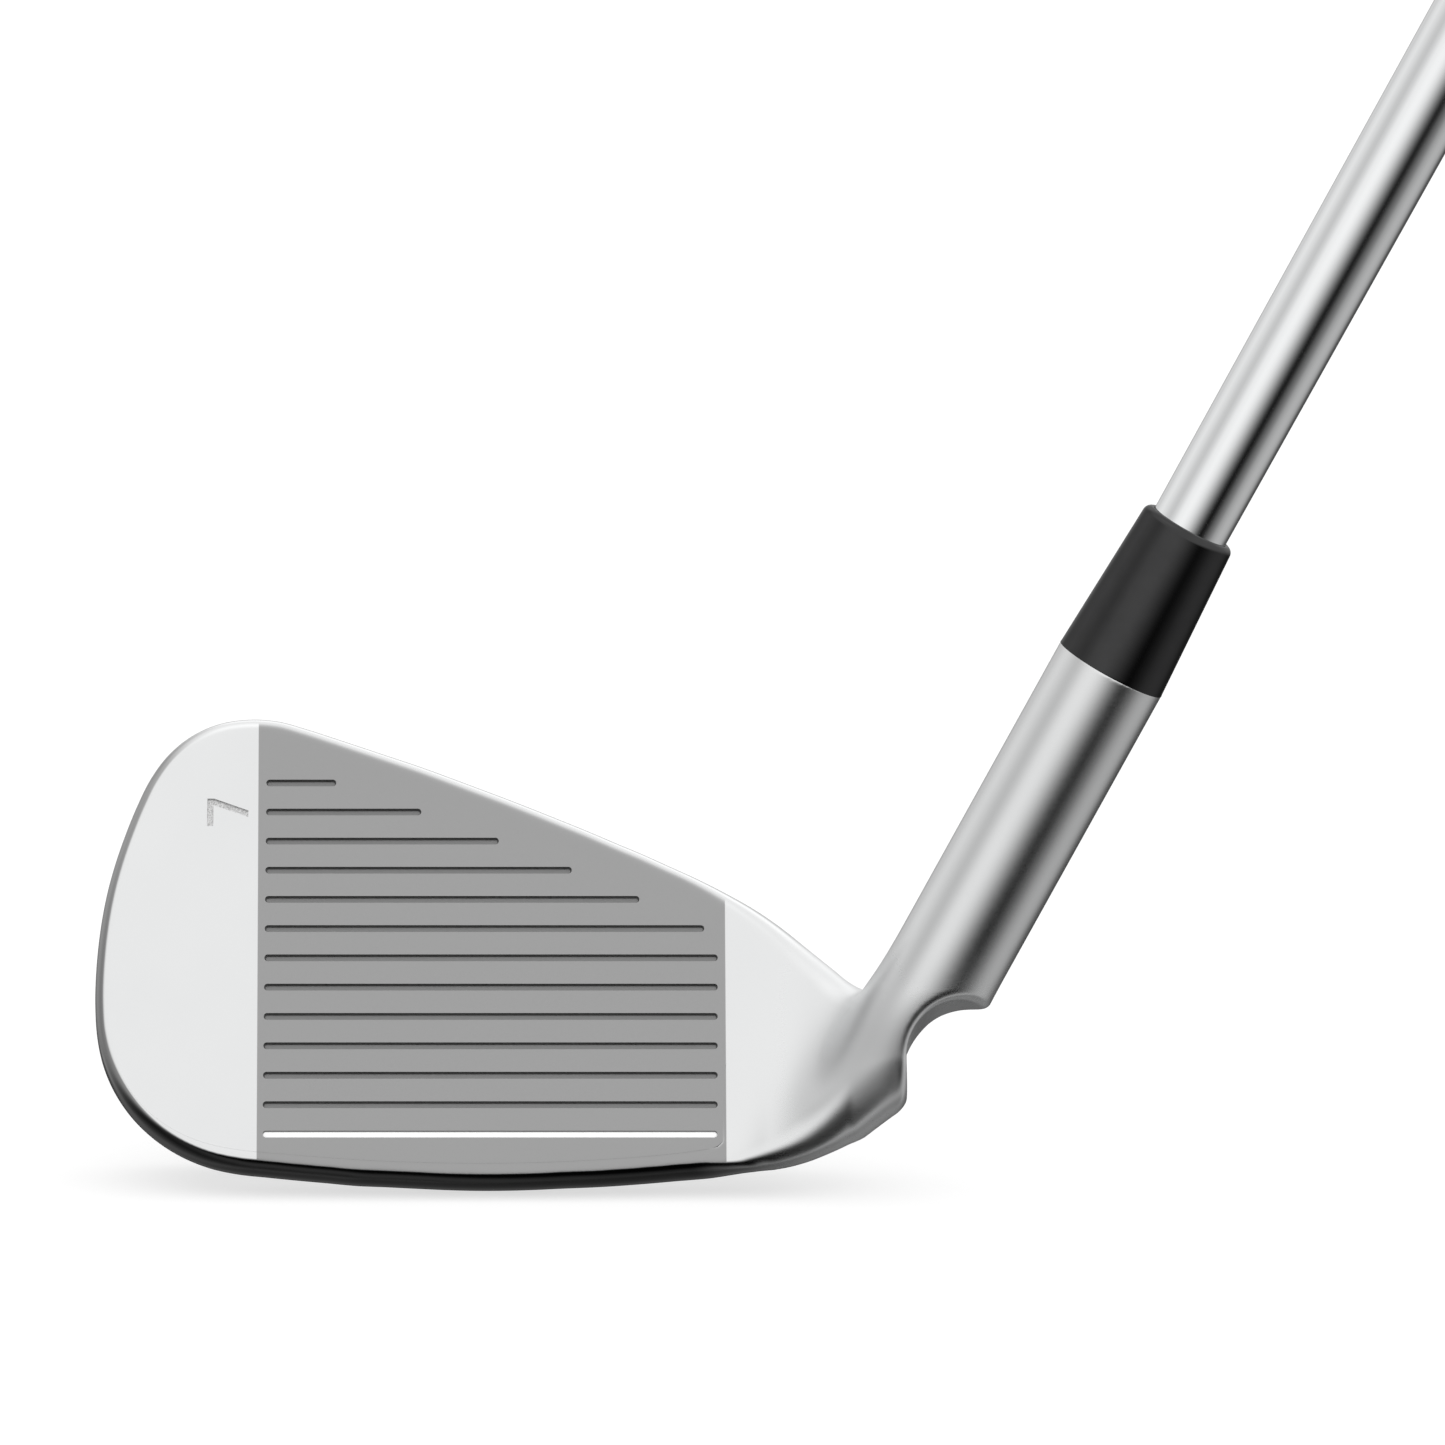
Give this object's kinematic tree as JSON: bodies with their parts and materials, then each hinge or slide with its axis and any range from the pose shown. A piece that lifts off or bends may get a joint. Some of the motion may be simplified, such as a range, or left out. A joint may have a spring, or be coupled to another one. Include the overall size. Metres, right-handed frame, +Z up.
{
  "type": "iron golf club",
  "caption": "Right-handed cavity-back iron: satin steel head with a flat scored face and notched hosel, black ferrule, stepped plated steel shaft and tapered rubber grip.",
  "frame": {"origin": "the point of the sole that touches the ground when the club is soled at its lie angle, below the middle of the scorelines", "axes": "+Z up; +X from toe to heel, the way the shaft leans; +Y from the face to the back, so the face looks towards -Y and tilts back by the loft"},
  "size_m": [0.5454, 0.0449, 0.8318],
  "materials": {
    "head_steel": "cast stainless steel, satin blasted and bright plated",
    "face_steel": "satin plated steel with a matte blasted grey middle zone",
    "white_paint": "white paint fill",
    "adhesive": "cured structural adhesive",
    "elastomer": "soft moulded elastomer",
    "carrier_plastic": "moulded filled polymer, fine texture",
    "badge_metal": "brushed anodised",
    "inlay_metal": "bright plated",
    "weight_alloy": "turned dense alloy",
    "shaft_chrome": "polished plated steel",
    "brass_plug": "turned",
    "ferrule_plastic": "turned black plastic, buffed satin",
    "band_film": "satin film wrap, no lettering",
    "tape": "double-sided crepe tape",
    "grip_rubber": "moulded rubber with a fine cut pattern",
    "cap_rubber": "harder moulded rubber"
  },
  "bodies": {
    "root": {"head_body": "head_steel", "face_plate": "face_steel", "scoreline_paint": "white_paint", "badge_adhesive": "adhesive", "damping_insert": "elastomer", "badge_carrier": "carrier_plastic", "badge_plate": "badge_metal", "badge_inlays": "inlay_metal", "tuning_weight_screw": "weight_alloy", "ferrule": "ferrule_plastic", "shaft": "shaft_chrome", "tip_weight": "brass_plug", "hosel_epoxy": "adhesive", "shaft_band": "band_film", "grip_tape": "tape", "grip_sleeve": "grip_rubber", "grip_cap": "cap_rubber"}
  },
  "joints": []
}
